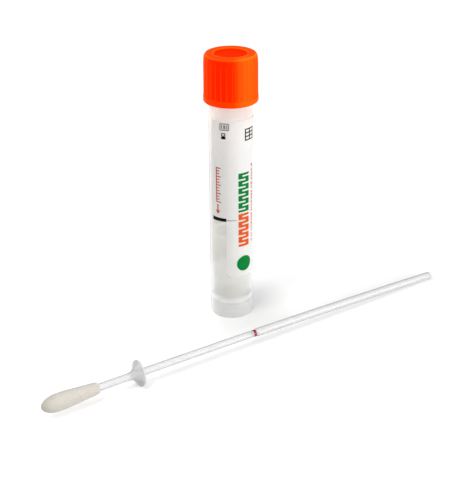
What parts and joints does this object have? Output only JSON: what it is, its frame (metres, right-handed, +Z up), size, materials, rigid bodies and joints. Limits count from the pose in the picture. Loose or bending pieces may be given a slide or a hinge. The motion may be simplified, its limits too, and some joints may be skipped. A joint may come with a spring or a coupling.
{
  "type": "specimen swab tube",
  "caption": "Screw-capped, self-standing specimen transport tube holding liquid medium under a wrap label, with the flocked swab of the kit lying in front of it.",
  "frame": {"origin": "middle of the set's footprint, on the bench under the tube and the swab", "axes": "+Z up along the tube; +Y from the swab's side towards the tube; the swab runs from low X and Y to high X and Y, its tip first"},
  "size_m": [0.138, 0.0946, 0.1],
  "materials": {
    "tube_plastic": "translucent natural polypropylene, smooth",
    "medium": "clear liquid, faintly cloudy",
    "cap_plastic": "orange moulded plastic, satin gloss",
    "seal": "soft white elastomer",
    "label_film": "white coated label film",
    "black_ink": "printed",
    "grey_ink": "printed",
    "red_ink": "printed",
    "green_ink": "printed",
    "orange_ink": "printed",
    "shaft_plastic": "white moulded plastic, slightly translucent",
    "flock": "short dense upright nylon fibres",
    "crimson_ink": "printed ring"
  },
  "bodies": {
    "tube": {"tube": "tube_plastic", "transport_medium": "medium", "label": "label_film", "fill_line": "black_ink", "guide_line": "grey_ink", "fill_arrow": "red_ink", "fill_scale": "red_ink", "corner_frame": "grey_ink", "corner_block": "black_ink", "lattice_block": "black_ink", "green_field": "green_ink", "orange_field": "orange_ink", "red_stripe": "red_ink", "green_disc": "green_ink", "swab_shaft": "shaft_plastic", "flocked_tip": "flock", "breakpoint_mark": "crimson_ink"},
    "seal": {"cap_seal": "seal"},
    "cap": {"cap": "cap_plastic"}
  },
  "joints": [
    {"name": "cap_lift", "type": "slide", "parent": "tube", "child": "seal", "axis": [0, 0, 1], "range_m": [0, 0.03]},
    {"name": "cap_turn", "type": "hinge", "parent": "seal", "child": "cap", "pos_m": [-0.00962, 0.02385, 0.08275], "axis": [0, 0, 1], "range_deg": [0, 540]}
  ]
}
